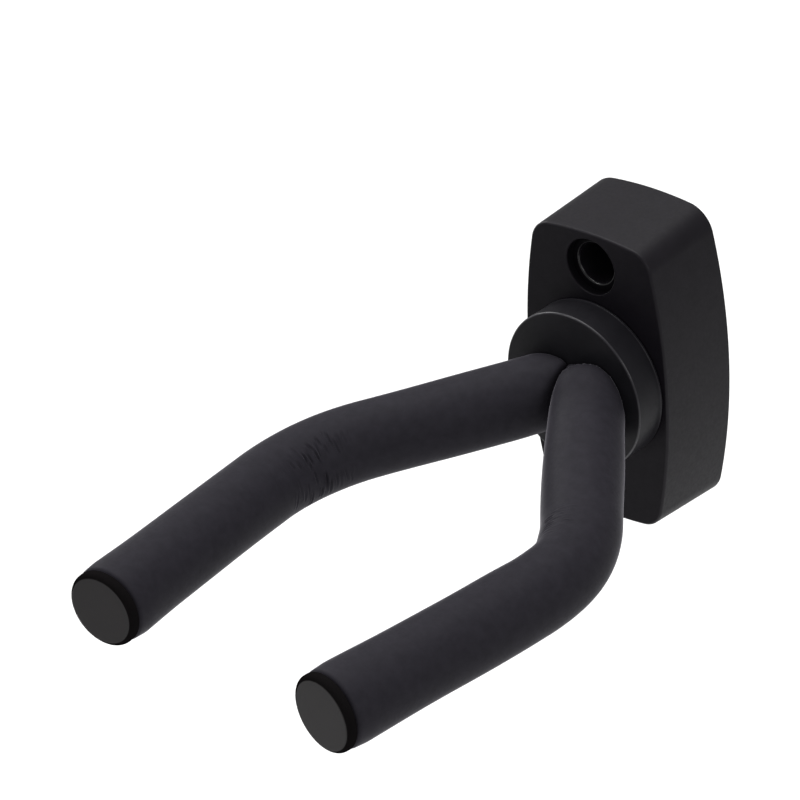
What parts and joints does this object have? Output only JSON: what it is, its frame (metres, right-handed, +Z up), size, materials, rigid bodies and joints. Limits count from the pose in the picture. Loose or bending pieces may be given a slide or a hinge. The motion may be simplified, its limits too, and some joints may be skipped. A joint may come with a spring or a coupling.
{
  "type": "wall guitar hanger",
  "caption": "Wall hanger for a guitar: a barrel-shaped moulded base block with a swivelling fork whose bent steel prongs wear foam sleeves with end plugs.",
  "frame": {"origin": "where the swivel axis meets the wall plane, which is the rear rim of the base block", "axes": "+Y into the wall along the swivel axis, +Z up, +X to the right when facing the wall"},
  "size_m": [0.0964, 0.1527, 0.078],
  "materials": {
    "base_plastic": "fine moulded grain, black",
    "collar_plastic": "satin, black",
    "foam": "soft closed-cell foam with a smooth skin, charcoal",
    "plug_plastic": "semi-gloss, black",
    "acetal": "satin, off-white",
    "black_steel": "black oxide",
    "zinc_steel": "bright zinc plate",
    "spring_steel": "tempered",
    "nylon_blue": "smooth, blue"
  },
  "bodies": {
    "base": {"base_block": "base_plastic", "swivel_bush": "acetal", "thrust_washer": "acetal"},
    "yoke": {"swivel_bolt": "zinc_steel", "wave_washer": "spring_steel", "flat_washer": "zinc_steel", "lock_nut": "zinc_steel", "nut_insert": "nylon_blue", "collar_disc": "collar_plastic", "left_rod": "black_steel", "right_rod": "black_steel", "left_sleeve": "foam", "right_sleeve": "foam", "left_end_plug": "plug_plastic", "right_end_plug": "plug_plastic"}
  },
  "joints": [
    {"name": "yoke_swivel", "type": "hinge", "parent": "base", "child": "yoke", "pos_m": [0, -0.023, 0], "axis": [0, 1, 0], "continuous": true}
  ]
}
